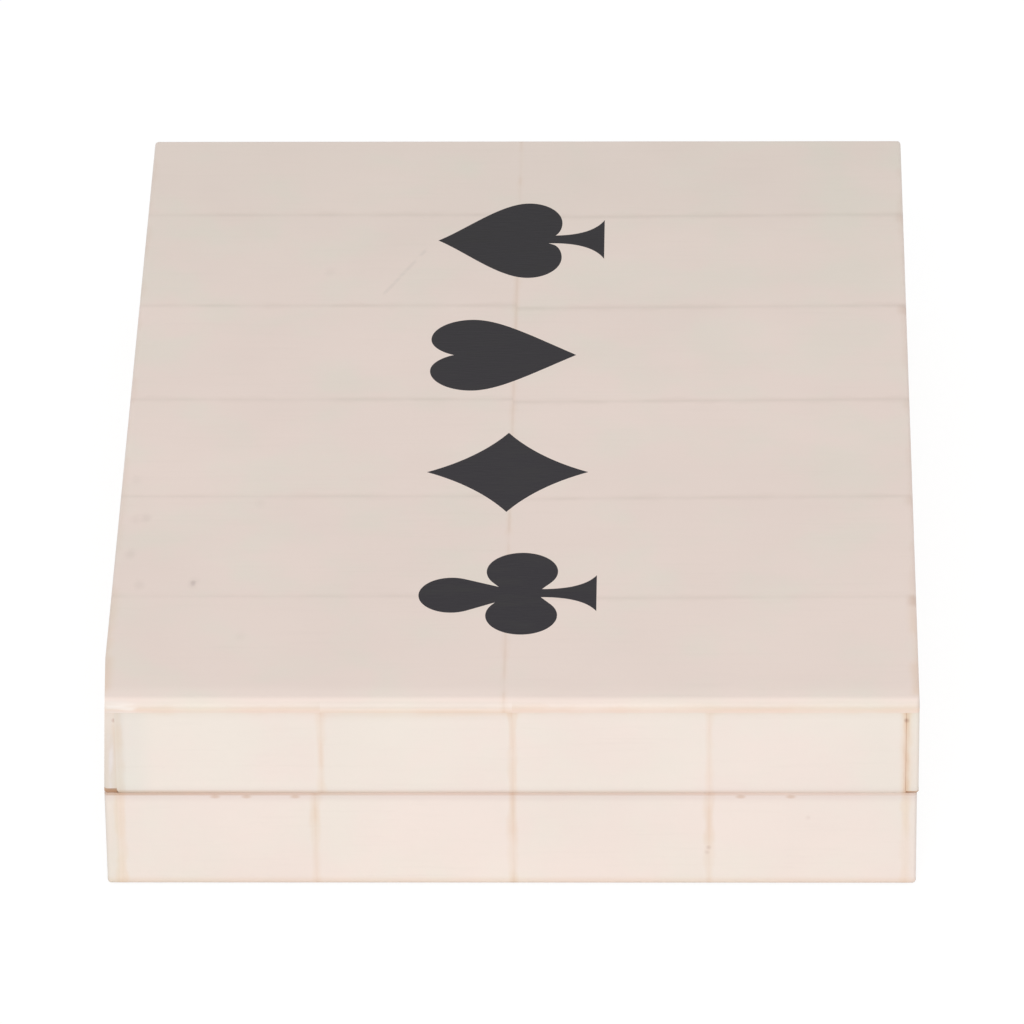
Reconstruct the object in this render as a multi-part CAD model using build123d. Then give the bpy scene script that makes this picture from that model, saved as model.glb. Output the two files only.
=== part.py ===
from build123d import *
import os

os.makedirs("parts", exist_ok=True)

# Closed box: X is the width, Y the depth (front at -Y), Z the height, origin under the middle
WIDTH = 127.0
DEPTH = 178.0
HEIGHT = 34.0
PARTING_HEIGHT = 17.0

# Bone tiles
TILE = 2.0
TOP_ROWS = 6
FRONT_ROW = 31.0
BACK_ROW = 26.3
TOP_SEAM_OFFSET = -1.0
RIGHT_SEAM_DIP = 0.9
LID_FRONT_SEAM_SHARES = (0.26, 0.5025, 0.751)
BASE_FRONT_SEAM_SHARES = (0.251, 0.502, 0.751)
BACK_SEAM_SHARES = (0.25, 0.5, 0.75)
END_ROUND = 1.7
EDGE_ROUND = 0.6
PARTING_EASE = 0.25
FOOT_EASE = 0.6
LEFT_RELIEF = 1.0
RIGHT_RELIEF = 0.5
RELIEF_DEPTH = 0.5
OPEN_JOINT = 0.1
WORN_CORNER = 0.9
CORNER_WEAR = 0.6
WEAR_RUN = 14.0
LID_OVERHANG = 0.25
TABLE_CLEARANCE = 0.1

# Board core under the tiles
CORE_WALL = 5.0
CORNER_RABBET = 2.5
PANEL = 4.0
PANEL_SEAT = 2.5

# Wooden lip and dividers
LIP = 2.5
LIP_RISE = 4.0
LIP_CLEARANCE = 0.3
LIP_EASE = 0.6
DIVIDER = 3.0
DIVIDER_DROP = 1.0
DIVIDER_EASE = 0.6
DADO = 1.0
DADO_CLEARANCE = 0.1
DICE_WELL = 21.0

# Felt
FELT = 1.0
FELT_INSET = 0.3
BASE_FELT = 1.0
BASE_FELT_MARGIN = 1.0

# Suits let into the top, each lying with its head towards -X
INLAY_DEPTH = 1.2
SPADE_LENGTH = 27.8
SPADE_WIDTH = 24.9
SPADE_NECK = 2.6
SPADE_FOOT = 13.0
SPADE_STEM_SHIFT = 0.35
HEART_LENGTH = 23.9
HEART_WIDTH = 22.8
DIAMOND_LENGTH = 26.0
DIAMOND_WIDTH = 24.5
CLUB_LENGTH = 28.1
CLUB_WIDTH = 24.3
CLUB_HEAD_RADIUS = 5.2
CLUB_HEAD_SHIFT = -0.5
CLUB_LOBE_RADIUS = 5.65
CLUB_HUB = 4.4
CLUB_WAIST = 0.8
CLUB_NECK = 2.4
CLUB_FOOT = 10.7
CLUB_STEM_SHIFT = 0.1

# Places of the suits' middles as shares of the box's width and depth
SUIT_PLACE_SHARES = {
    "spade": (-0.004, 0.3035),
    "heart": (-0.0224, 0.0924),
    "diamond": (-0.012, -0.1152),
    "club": (-0.0072, -0.3219),
}

# Outline points as shares of a suit's length (from its head) and of its half width
SPADE_SHARES = {
    "tip": (0, 0),
    "tip_lead": (0.17, 0.31),
    "shoulder_lead": (0.37, 1),
    "shoulder": (0.543, 1),
    "shoulder_trail": (0.655, 1),
    "lobe_lead": (0.745, 0.758),
    "lobe": (0.745, 0.46),
    "lobe_trail": (0.745, 0.28),
    "neck_lead": (0.72, 0.14),
    "neck": (0.69, 0.107),
    "root": (0.6, 0),
}
HEART_SHARES = {
    "notch": (0.159, 0),
    "notch_trail": (0.085, 0.06),
    "lobe_lead": (0, 0.22),
    "lobe": (0, 0.443),
    "lobe_trail": (0, 0.75),
    "shoulder_lead": (0.128, 1),
    "shoulder": (0.285, 1),
    "shoulder_trail": (0.47, 1),
    "tip_lead": (0.68, 0.56),
    "tip": (1, 0),
}
DIAMOND_SIDE_SHARE = 0.43
CLUB_HUB_SHARE = 0.58
NECK_SHARE = 0.69
STEM_LEAD_SHARE = 0.76

# How far cutting shapes run past the face they cut
OVERRUN = 5.0

# Levels and half sizes that several pieces share
core_x = WIDTH / 2 - TILE
core_y = DEPTH / 2 - TILE
inner_x = core_x - CORE_WALL
inner_y = core_y - CORE_WALL
lid_inner_x = inner_x + LIP_CLEARANCE
lid_inner_y = inner_y + LIP_CLEARANCE
well_x = inner_x - LIP
well_y = inner_y - LIP
floor_z = BASE_FELT + PANEL
lip_top = PARTING_HEIGHT + LIP_RISE
tile_bed = HEIGHT - TILE
ceiling_z = tile_bed - PANEL
row_pitch = (DEPTH - FRONT_ROW - BACK_ROW) / (TOP_ROWS - 2)
row_seams = [FRONT_ROW - DEPTH / 2 + row * row_pitch for row in range(TOP_ROWS - 1)]


def save(node, solids):
    """One node's file, its solids kept apart."""
    export_step(Compound(children=solids), f"parts/{node}.step")


def block(x0, x1, y0, y1, z0, z1):
    """Box between two corners."""
    low = (Align.MIN, Align.MIN, Align.MIN)
    return Pos(x0, y0, z0) * Box(x1 - x0, y1 - y0, z1 - z0, align=low)


def centred(x, y, z0, z1):
    """Box about the upright axis from its half sizes and levels."""
    return block(-x, x, -y, y, z0, z1)


def pair(solid, plane, names):
    """A solid and its mirror image under two names."""
    return {names[0]: solid, names[1]: mirror(solid, plane)}


# Tiles


def lid_skin():
    """Outer form of the lid: ends of the top well rounded, rim eased, front left corner worn."""
    skin = centred(WIDTH / 2, DEPTH / 2, PARTING_HEIGHT, HEIGHT)
    skin = fillet(skin.edges().group_by(Axis.Z)[-1].filter_by(Axis.X), END_ROUND)
    left, *_, right = skin.faces().sort_by(Axis.X)
    sides = left.edges() + right.edges()
    skin = fillet([edge for edge in sides if edge.center().Z > PARTING_HEIGHT], EDGE_ROUND)
    skin = chamfer(skin.edges().group_by(Axis.Z)[0], PARTING_EASE)
    return split(skin, bisect_by=worn_plane(), keep=Keep.BOTTOM)


def worn_plane():
    """Plane of the worn corner: it leaves the rim and the left side, and cuts in most at the top."""
    rise = HEIGHT - PARTING_HEIGHT
    outward = Vector(CORNER_WEAR, 0, rise).cross(Vector(0, WEAR_RUN, rise))
    return Plane(origin=(-WIDTH / 2, -DEPTH / 2, PARTING_HEIGHT), z_dir=outward)


def base_skin():
    """Outer form of the base, clear of the table, with the lid overhanging it on the right."""
    x, y = WIDTH / 2, DEPTH / 2
    skin = block(-x, x - LID_OVERHANG, -y, y, TABLE_CLEARANCE, PARTING_HEIGHT)
    skin = fillet(skin.edges().filter_by(Axis.Z), EDGE_ROUND)
    skin = fillet(skin.edges().group_by(Axis.Z)[0], FOOT_EASE)
    return chamfer(skin.edges().group_by(Axis.Z)[-1], PARTING_EASE)


def cut_row(skin, bounds, cell):
    """Tiles of one row: the skin within the cell between each two bounds."""
    return [(skin & cell(low, high)).solid() for low, high in zip(bounds, bounds[1:])]


def side_tiles(skin, x, y, z0, z1):
    """Tiles along the side at x (negative: left), seams in line with the top's."""
    outer = x + OVERRUN if x > 0 else x - OVERRUN
    inner = x - TILE if x > 0 else x + TILE
    bounds = [-y - OVERRUN] + row_seams + [y + OVERRUN]
    low_x, high_x = sorted((inner, outer))
    return cut_row(skin, bounds, lambda a, b: block(low_x, high_x, a, b, z0, z1))


def end_tiles(skin, y, seam_shares, z0, z1):
    """Tiles across the front (negative y) or back, between the side tiles."""
    outer = y + OVERRUN if y > 0 else y - OVERRUN
    inner = y - TILE if y > 0 else y + TILE
    low_y, high_y = sorted((inner, outer))
    seams = [(2 * share - 1) * core_x for share in seam_shares]
    bounds = [-core_x] + seams + [core_x]
    return cut_row(skin, bounds, lambda a, b: block(a, b, low_y, high_y, z0, z1))


def make_base_tiles():
    """Four groups of tiles round the base."""
    skin = base_skin()
    x, y = WIDTH / 2, DEPTH / 2
    levels = (0, PARTING_HEIGHT)
    save("base_tiles_left", side_tiles(skin, -x, y, *levels))
    save("base_tiles_right", side_tiles(skin, x, y, *levels))
    save("base_tiles_front", end_tiles(skin, -y, BASE_FRONT_SEAM_SHARES, *levels))
    save("base_tiles_back", end_tiles(skin, y, BACK_SEAM_SHARES, *levels))


def make_lid_tiles():
    """Four groups of tiles round the lid, with the worn ones at the front corners."""
    skin = lid_skin()
    x, y = WIDTH / 2, DEPTH / 2
    levels = (PARTING_HEIGHT, tile_bed)
    for side, side_x, relief in (("left", -x, LEFT_RELIEF), ("right", x, RIGHT_RELIEF)):
        first, *rest = side_tiles(skin, side_x, y, *levels)
        save(f"lid_tiles_{side}", [notched_tile(first, relief), *rest])
    first, *middle, last = end_tiles(skin, -y, LID_FRONT_SEAM_SHARES, *levels)
    save("lid_tiles_front", [worn_tile(first, -core_x, PARTING_HEIGHT), *middle, open_tile(last)])
    save("lid_tiles_back", end_tiles(skin, y, BACK_SEAM_SHARES, *levels))


def notched_tile(tile, relief):
    """Tile with its front end worn back along the rim, as high as its relief."""
    front = -DEPTH / 2
    notch = block(-WIDTH, WIDTH, front - OVERRUN, front + RELIEF_DEPTH, 0, PARTING_HEIGHT + relief)
    return (tile - notch).solid()


def open_tile(tile):
    """Tile with its outer right edge cut back, so that the joint there stands open."""
    x, y = core_x, -DEPTH / 2
    groove = Polyline((x, y), (x - OPEN_JOINT, y), (x, y + OPEN_JOINT), close=True)
    return (tile - extrude(make_face(groove), HEIGHT)).solid()


def worn_tile(tile, x, z):
    """Tile with its lower left corner, at x and z, worn round."""
    corner = block(x, x + WORN_CORNER, -DEPTH, 0, z, z + WORN_CORNER)
    roller = Rot(90, 0, 0) * Cylinder(WORN_CORNER, DEPTH + OVERRUN)
    return (tile - (corner - Pos(x + WORN_CORNER, -DEPTH / 2, z + WORN_CORNER) * roller)).solid()


def row_cell(x0, x1, low, high, dip):
    """Prism between two row seams that lie nearer to the front by dip at x0."""
    plan = Polyline((x0, low - dip), (x1, low), (x1, high), (x0, high - dip), close=True)
    return extrude(Pos(0, 0, tile_bed) * make_face(plan), TILE)


def make_top_tiles(pockets):
    """Two columns of tiles over the whole lid, cut for the suits."""
    skin = lid_skin() - pockets
    bounds = [-DEPTH] + row_seams + [DEPTH]
    columns = {
        "left": (-WIDTH / 2, TOP_SEAM_OFFSET, 0),
        "right": (TOP_SEAM_OFFSET, WIDTH / 2, RIGHT_SEAM_DIP),
    }
    for column, (x0, x1, dip) in columns.items():
        tiles = cut_row(skin, bounds, lambda a, b: row_cell(x0, x1, a, b, dip))
        for row, tile in enumerate(tiles, 1):
            save(f"top_tile_{column}_{row}", [tile])


# Suits


def share_points(shares, length, width):
    """Named outline points in millimetres about the suit's middle."""
    return {
        name: (along * length - length / 2, across * width / 2)
        for name, (along, across) in shares.items()
    }


def mirrored_face(half):
    """Face inside a half outline and its mirror image across the suit's axis."""
    other = [mirror(edge, Plane.XZ) for edge in half]
    return make_face(half + other)


def stem_face(root_x, length, neck, foot, shift):
    """Stem from inside the suit, straight to its neck and flared to its foot."""
    neck_x = (NECK_SHARE - 1 / 2) * length
    foot_x = length / 2
    lead_x = neck_x + (foot_x - neck_x) * STEM_LEAD_SHARE
    half = [
        Polyline((root_x, 0), (root_x, neck / 2), (neck_x, neck / 2)),
        Bezier((neck_x, neck / 2), (lead_x, neck / 2), (foot_x, foot / 2)),
        Line((foot_x, foot / 2), (foot_x, 0)),
    ]
    return Pos(0, shift) * mirrored_face(half)


def spade_face():
    """Leaf with two round lobes on a flared stem."""
    at = share_points(SPADE_SHARES, SPADE_LENGTH, SPADE_WIDTH)
    half = [
        Bezier(at["tip"], at["tip_lead"], at["shoulder_lead"], at["shoulder"]),
        Bezier(at["shoulder"], at["shoulder_trail"], at["lobe_lead"], at["lobe"]),
        Bezier(at["lobe"], at["lobe_trail"], at["neck_lead"], at["neck"]),
        Line(at["neck"], at["root"]),
    ]
    root_x = at["root"][0]
    stem = stem_face(root_x, SPADE_LENGTH, SPADE_NECK, SPADE_FOOT, SPADE_STEM_SHIFT)
    return mirrored_face(half) + stem


def heart_face():
    """Two round lobes running to a tip."""
    at = share_points(HEART_SHARES, HEART_LENGTH, HEART_WIDTH)
    half = [
        Bezier(at["notch"], at["notch_trail"], at["lobe_lead"], at["lobe"]),
        Bezier(at["lobe"], at["lobe_trail"], at["shoulder_lead"], at["shoulder"]),
        Bezier(at["shoulder"], at["shoulder_trail"], at["tip_lead"], at["tip"]),
    ]
    return mirrored_face(half)


def diamond_face():
    """Four tips joined by hollow arcs."""
    x, y = DIAMOND_LENGTH / 2, DIAMOND_WIDTH / 2
    hollow_x, hollow_y = x * DIAMOND_SIDE_SHARE, y * DIAMOND_SIDE_SHARE
    half = [
        ThreePointArc((-x, 0), (-hollow_x, hollow_y), (0, y)),
        ThreePointArc((0, y), (hollow_x, hollow_y), (x, 0)),
    ]
    return mirrored_face(half)


def club_lobe(x, y, radius, root):
    """Round lobe drawn in to a straight root."""
    ring = Pos(x, y) * Edge.make_circle(radius)
    return make_hull([ring, root])


def club_face():
    """Three round lobes meeting at a hub, on a flared stem."""
    head_x = CLUB_HEAD_RADIUS - CLUB_LENGTH / 2
    hub_x = (CLUB_HUB_SHARE - 1 / 2) * CLUB_LENGTH
    lobe_y = CLUB_WIDTH / 2 - CLUB_LOBE_RADIUS
    waist = Line((hub_x, -CLUB_WAIST / 2), (hub_x, CLUB_WAIST / 2))
    hub = Line((hub_x - CLUB_HUB / 2, 0), (hub_x + CLUB_HUB / 2, 0))
    face = club_lobe(head_x, CLUB_HEAD_SHIFT, CLUB_HEAD_RADIUS, waist)
    face += club_lobe(hub_x, lobe_y, CLUB_LOBE_RADIUS, hub)
    face += club_lobe(hub_x, -lobe_y, CLUB_LOBE_RADIUS, hub)
    face += stem_face(hub_x, CLUB_LENGTH, CLUB_NECK, CLUB_FOOT, CLUB_STEM_SHIFT)
    return face


def make_suits():
    """Four inlays flush with the top, and the pockets they lie in."""
    faces = {
        "spade": spade_face(),
        "heart": heart_face(),
        "diamond": diamond_face(),
        "club": club_face(),
    }
    pockets = []
    for name, face in faces.items():
        along, across = SUIT_PLACE_SHARES[name]
        seat = Pos(along * WIDTH, across * DEPTH, HEIGHT - INLAY_DEPTH) * face
        save(f"inlay_{name}", extrude(seat, INLAY_DEPTH).solids())
        pockets.append(extrude(seat, INLAY_DEPTH + OVERRUN))
    return pockets


# Board core


def wall_frame(wall, z0, z1, panel):
    """Front, back, left and right walls, rabbeted at the corners and for the panel."""
    tongue_y = core_y - wall + CORNER_RABBET
    left = block(-core_x, wall - core_x, -tongue_y, tongue_y, z0, z1)
    right = mirror(left, Plane.YZ)
    front = block(-core_x, core_x, -core_y, wall - core_y, z0, z1) - left - right - panel
    walls = pair(front, Plane.XZ, ("front", "back"))
    walls.update(pair(left - panel, Plane.YZ, ("left", "right")))
    return walls


def make_core():
    """Panel and walls of the base and of the lid."""
    seat_x, seat_y = inner_x + PANEL_SEAT, inner_y + PANEL_SEAT
    bottom = centred(seat_x, seat_y, BASE_FELT, floor_z)
    top = centred(seat_x, seat_y, ceiling_z, tile_bed)
    save("base_panel", bottom.solids())
    save("lid_panel", top.solids())
    for side, wall in wall_frame(CORE_WALL, BASE_FELT, PARTING_HEIGHT, bottom).items():
        save(f"base_wall_{side}", wall.solids())
    lid_wall = CORE_WALL - LIP_CLEARANCE
    for side, wall in wall_frame(lid_wall, PARTING_HEIGHT, tile_bed, top).items():
        save(f"lid_wall_{side}", wall.solids())


# Lip and dividers


def divider_places():
    """Lower and upper Y of the divider on each side of the dice well."""
    near = DICE_WELL / 2
    return [(-near - DIVIDER, -near), (near, near + DIVIDER)]


def make_lip():
    """Four mitred rails that the lid drops over, the side ones dadoed for the dividers."""
    form = centred(inner_x, inner_y, floor_z, lip_top)
    form = chamfer(form.edges().group_by(Axis.Z)[-1], LIP_EASE)
    front_plan = [(-inner_x, -inner_y), (inner_x, -inner_y), (well_x, -well_y), (-well_x, -well_y)]
    left_plan = [(-inner_x, -inner_y), (-inner_x, inner_y), (-well_x, well_y), (-well_x, -well_y)]
    front, left = mitred(form, front_plan), mitred(form, left_plan)
    reach = well_x + DADO + DADO_CLEARANCE
    for low, high in divider_places():
        low, high = low - DADO_CLEARANCE, high + DADO_CLEARANCE
        left -= block(-reach, reach, low, high, floor_z, lip_top + OVERRUN)
    rails = pair(front, Plane.XZ, ("front", "back"))
    rails.update(pair(left, Plane.YZ, ("left", "right")))
    for side, rail in rails.items():
        save(f"lip_{side}", rail.solids())


def mitred(form, corners):
    """The part of a form over a four-cornered plan."""
    plan = make_face(Polyline(*corners, close=True))
    return form & extrude(Pos(0, 0, floor_z) * plan, lip_top - floor_z)


def make_dividers():
    """Two dividers with rounded top edges, standing in the lip's dados."""
    reach = well_x + DADO
    top = lip_top - DIVIDER_DROP
    for name, (low, high) in zip(("front", "back"), divider_places()):
        divider = block(-reach, reach, low, high, floor_z, top)
        rims = divider.edges().group_by(Axis.Z)[-1].filter_by(Axis.X)
        save(f"divider_{name}", fillet(rims, DIVIDER_EASE).solids())


# Felt


def make_felt():
    """Well floors, lid lining and the pad under the base."""
    x = well_x - FELT_INSET
    well_edge = DICE_WELL / 2 + DIVIDER
    floor = (floor_z, floor_z + FELT)
    back = block(-x, x, well_edge + FELT_INSET, well_y - FELT_INSET, *floor)
    for side, felt in pair(back, Plane.XZ, ("back", "front")).items():
        save(f"card_felt_{side}", felt.solids())
    save("dice_felt", centred(x, DICE_WELL / 2 - FELT_INSET, *floor).solids())
    lining_x, lining_y = lid_inner_x - FELT_INSET, lid_inner_y - FELT_INSET
    save("lid_lining", centred(lining_x, lining_y, ceiling_z - FELT, ceiling_z).solids())
    pad_x, pad_y = core_x - BASE_FELT_MARGIN, core_y - BASE_FELT_MARGIN
    save("base_felt", centred(pad_x, pad_y, 0, BASE_FELT).solids())


make_base_tiles()
make_lid_tiles()
make_top_tiles(make_suits())
make_core()
make_lip()
make_dividers()
make_felt()
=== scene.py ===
"""Card and dice box: dresses the tiles, suits, boards, wood and felt of the packed model, and lights it."""

import math
from dataclasses import dataclass

import bmesh
import bpy
from mathutils import Matrix, Vector, noise


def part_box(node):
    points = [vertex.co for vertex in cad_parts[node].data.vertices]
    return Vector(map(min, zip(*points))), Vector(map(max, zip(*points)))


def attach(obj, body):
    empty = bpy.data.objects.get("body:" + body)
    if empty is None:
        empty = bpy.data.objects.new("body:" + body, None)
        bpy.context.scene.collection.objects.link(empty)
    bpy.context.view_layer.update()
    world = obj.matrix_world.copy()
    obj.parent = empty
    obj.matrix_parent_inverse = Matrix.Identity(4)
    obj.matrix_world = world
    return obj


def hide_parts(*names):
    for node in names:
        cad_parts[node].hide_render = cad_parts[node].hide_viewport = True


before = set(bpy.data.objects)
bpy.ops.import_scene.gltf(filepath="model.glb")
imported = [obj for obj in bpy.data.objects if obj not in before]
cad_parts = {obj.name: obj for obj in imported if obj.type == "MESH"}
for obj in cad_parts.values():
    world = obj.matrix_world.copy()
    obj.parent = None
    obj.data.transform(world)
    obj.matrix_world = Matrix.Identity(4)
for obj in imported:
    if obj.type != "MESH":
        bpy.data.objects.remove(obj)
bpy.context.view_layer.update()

bl_info = {
    "name": "Card and Dice Box",
    "version": (1, 0, 0),
    "blender": (4, 5, 0),
    "location": "3D View > Sidebar > Card Box",
    "description": "Finishes a bone-tiled card and dice box and sets up its studio",
    "category": "Object",
}

MM_PER_METRE = 1000
SIDES = ("front", "back", "left", "right")
SUITS = ("spade", "heart", "diamond", "club")
TOP_ROWS = 6

# Sockets of a Mix node for colours, whose names it also gives to other kinds
MIX_FACTOR, MIX_FIRST, MIX_SECOND, MIX_RESULT = 0, 6, 7, 2

# Where the tiles of a front or back meet, as a share of the box's width, and how dirty each joint is
LID_FRONT_JOINTS = ((0.26, 1.05), (0.5025, 1.5), (0.751, 0.65))
BASE_FRONT_JOINTS = ((0.251, 0.96), (0.502, 1.07), (0.751, 0.92))
BACK_JOINTS = ((0.25, 0.9), (0.5, 1.2), (0.75, 0.8))

# How much taller than its side of the lid each front tile is, from left to right, in millimetres
FRONT_TILE_RISES = (0.4, 0, 0.5, 0.45)

# How much painted shade lies on the rounded edge of the top, how much rubbing and painted highlight back
# from it, and how tanned it is, over each front tile, from left to right
EDGE_PAINTED_SHADE = (0.65, 0.95, 0.4, 0.65)
EDGE_RUB_AND_HIGHLIGHT = (1, 1, 0.55, 0.65)
EDGE_TAN = (0.85, 1.1, 0.5, 0.9)
EDGE_BLEND = 6
STEP_BLEND = 0.02
FRONT_REACH = (2, 4)


@dataclass
class Patches:
    """Uneven patches on a surface: their size and shift in millimetres, and where they fade in."""

    size: float
    fade: tuple = (0.4, 0.6)
    stretch: tuple = (1, 1, 1)
    detail: float = 2
    shift: tuple = (0, 0, 0)


@dataclass
class Stain:
    """Dirt about a line or a spot: full up to one distance in millimetres, gone at another, and its tint."""

    full: float
    gone: float
    tint: tuple

    def on(self, body, distance, strength=1):
        """The body's colour with this stain on it, by the distance from the line or spot."""
        return (distance.fall(self.full, self.gone) * strength).tint(body, self.tint)


@dataclass
class TileFace:
    """One face of tiles round the box: its joints in millimetres, how dirty they are, and its bone."""

    name: str
    joints: list
    along_x: bool
    blush_from: float
    halo: Stain
    core: Stain


# Bone: its clouds, fibres and polish
CLOUDS = Patches(size=12, detail=3)
DRIFT = Patches(size=60, shift=(31, 7, 19))
CLOUD_SHARE = 0.7
CLOUD_FADE = 0.12
SHADE = Patches(size=24, shift=(12, 3, 27))
SHADE_DEPTH = 0.08
TOP_BLUSH_FROM = 0.44
LID_BLUSH_FROM = 0.56
BASE_BLUSH_FROM = 0.45
FIBRES = Patches(size=0.7, fade=(0.5, 0.78), detail=3)
FIBRE_STRETCH = 0.05
FIBRE_DARKNESS = 0.012
POLISH = Patches(size=9, fade=(0.3, 0.7), detail=4)
POLISH_ROUGHNESS = 0.12
DULL_ROUGHNESS = 0.2
FIBRE_HEIGHT = -0.25
POLISH_HEIGHT = 0.3
JOINT_DEPTH = 0.4
BONE_BUMP = 0.00004
BONE_SHADER = {"Specular IOR Level": 0.4, "Coat Weight": 0.12, "Coat Roughness": 0.12}

# Bone: the dirt in its joints
JOINT_WEAR = Patches(size=9, fade=(0.36, 0.62))
JOINT_SPREAD = Patches(size=4, fade=(0.3, 0.7), shift=(3, 40, 8))
HALO_NARROW = 1.4
HALO_RAGGED = 0.6
ROW_LEAST_WEAR = 0.5
ROW_CLEAN_RUN = (-36, -28)
ROW_CLEAN = 0.28
ROW_DIRT = (0.78, 1, 1.2, 1.4, 1.35)
COLUMN_LEAST_WEAR = 0.2
COLUMN_WORN_AT = 33
COLUMN_WORN_RUN = (6, 14)
COLUMN_WORN = 0.9
SIDE_LEAST_WEAR = 0.45
TOP_HALO = Stain(0.2, 1.5, (0.955, 0.95, 0.944))
TOP_CORE = Stain(0.08, 0.55, (0.965, 0.968, 0.966))
COLUMN_HALO = Stain(0.1, 0.95, (0.982, 0.958, 0.93))
COLUMN_CORE = Stain(0.05, 0.35, (0.958, 0.94, 0.925))
LID_HALO = Stain(0.2, 1.0, (0.982, 0.928, 0.878))
LID_CORE = Stain(0.05, 0.3, (0.985, 0.965, 0.955))
BASE_HALO = Stain(0.25, 1.15, (0.955, 0.9, 0.835))
BASE_CORE = Stain(0.05, 0.35, (0.975, 0.945, 0.925))
END_HALO = Stain(0.3, 1.2, (0.985, 0.938, 0.875))
END_CORE = Stain(0.05, 0.3, (0.995, 0.985, 0.975))

# Bone: dirt at the edges of the tiles, with painted shade and painted highlight at some of them
LID_PARTING = Stain(0.25, 0.9, (0.755, 0.64, 0.55))
BASE_PARTING = Stain(0.18, 0.43, (0.765, 0.65, 0.56))
# Painted shade on either side of the parting
PARTING_PAINTED_SHADE = Stain(0.4, 1.8, (0.93, 0.908, 0.915))
LID_PARTING_PAINTED_SHADE = 0.5
PARTING_STRENGTH = 0.89
PARTING_FADES = ((-63, -15, 0.36), (15, 55, 0.16))
GRIME_BLOB = Stain(0.1, 0.5, (0.88, 0.79, 0.72))
GRIME_PLACES = (-46.2, -41.3, -33.7, 35.8, 43.6)
GRIME_DROP = 0.55
GRIME_STRETCH = (0.45, 1, 1)
FOOT_BAND = Stain(0.3, 1.7, (0.945, 0.888, 0.832))
# A faint tint with painted shade along the top's side and back rims
RIM_TINT_AND_SHADE = Stain(0.3, 1.5, (0.972, 0.952, 0.938))
RIM_TAN = Stain(0.5, 2.2, (0.98, 0.948, 0.893))
RIM_TAN_FADE = (14, 42)
RIM_REACH = 0.9
RIM_WEAR = Patches(size=9, fade=(0.36, 0.62), shift=(50, 20, 0))
RIM_START = (1, 3)
CUT_EDGE = Stain(0.05, 1.5, (0.908, 0.9, 0.862))
# Painted shade on the rounded front edge of the top, which tones down its highlight
ROUNDING_PAINTED_SHADE = Stain(0.25, 0.7, (0.873, 0.896, 0.889))
ROUNDING_DROP = 0.8
# Rubbed bone with a painted highlight, back from the front edge of the top
RUBBED_EDGE_HIGHLIGHT = Stain(2.0, 5.5, (1.05, 1.055, 1.055))
EDGE_DULL = (0.1, 0.6)
# Painted shade on the top, darker and less pink towards the back
BACK_SHADE_RUN = (10, 85)
BACK_SHADE_AND_TINT = (0.947, 0.969, 0.957)
LEDGE = Stain(0.1, 2.0, (0.966, 0.955, 0.94))
LEDGE_DIRT = 0.75
END_GRAIN = Stain(0.3, 0.9, (0.966, 0.978, 0.96))
LEFT_END_SHIFT = 0.42
END_DIRT = {"lid": (1, 1), "base": (1.45, 1)}
JOINT_END = Stain(0.5, 2.4, (0.86, 0.8, 0.76))
JOINT_END_SHIFT = 1.4
JOINT_END_RUN = (0.4, 2.0)
JOINT_END_SHARES = (1, 0.35, 0.2, 0.7, 0.3)
OPEN_JOINT = Stain(0.1, 0.65, (0.94, 0.845, 0.78))
OPEN_JOINT_FACE = (0.5, 2)
OPEN_JOINT_DIRT = Patches(size=4, fade=(0.3, 0.7))
OPEN_JOINT_LEAST = 0.5
OPEN_JOINT_WOBBLE = Patches(size=3, stretch=(0, 0, 1))
OPEN_JOINT_SWAY = 0.8
OPEN_JOINT_HALO = Stain(0.3, 1.3, (0.985, 0.95, 0.915))
OPEN_JOINT_SPOT = Stain(0.1, 0.6, (0.74, 0.66, 0.63))
OPEN_JOINT_SPOT_DROP = 1.4
# Brown dirt with painted shade in the notch at the lid's rim
NOTCH_DIRT_AND_SHADE = Stain(0.9, 1.1, (0.79, 0.62, 0.49))
NOTCH_START = (0.2, 0.45)
NOTCH_END = (0.6, 1.2)
BASE_SPECKS = ((30.8, 7.0, 1), (30.55, 6.1, 0.7), (46.3, 12.6, 0.4))
BASE_SPECK = Stain(0.05, 0.6, (0.86, 0.82, 0.8))

# Bone: the lid's worn front left corner, with a painted highlight on its smear of polish
WORN_END = Stain(0.3, 0.9, (0.91, 0.893, 0.885))
WORN_TOP = (0.5, 6.0)
WORN_LEAST = 0.4
WORN_BAND = Stain(0.3, 1.5, (0.943, 0.94, 0.938))
WORN_SHADE = Stain(2.0, 6.0, (0.948, 0.982, 0.985))
WORN_SPOT = Stain(0.1, 0.6, (0.8, 0.72, 0.7))
# A milky smear of polish down the lid's left end, painted pale as a highlight
SMEAR_STREAKS = Patches(size=0.8, fade=(0.3, 0.62), stretch=(1, 1, 0.2), detail=3)
SMEAR_PLACE_SHARE = 0.62
SMEAR_WIDTH = (0.1, 0.65)
SMEAR_TOP = (3.6, 4.8)
SMEAR_FACE = (0.2, 0.4)
SMEAR_HIGHLIGHT_STRENGTH = 0.45
CHIP_FACE = (0.2, 1.2)
CHIP_LEVEL = 0.75
CHIP_WIDTH = (0.1, 0.42)
CHIP_START = (0.3, 1.3)
CHIP_RUN = (4.6, 5.8)
CHIP_WOBBLE = Patches(size=5, stretch=(1, 0, 0), detail=1)
CHIP_SWAY = 1.2
CHIP_STRENGTH = 0.4
DULL_RUN = (1, 5)
DULL_TINT = (0.94, 0.962, 0.967)
HAZE_RUN = (2, 12)
HAZE = Patches(size=2.2, fade=(0.42, 0.62), stretch=(0.35, 1, 1.4), detail=3)
HAZE_STRENGTH = 0.3

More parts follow.
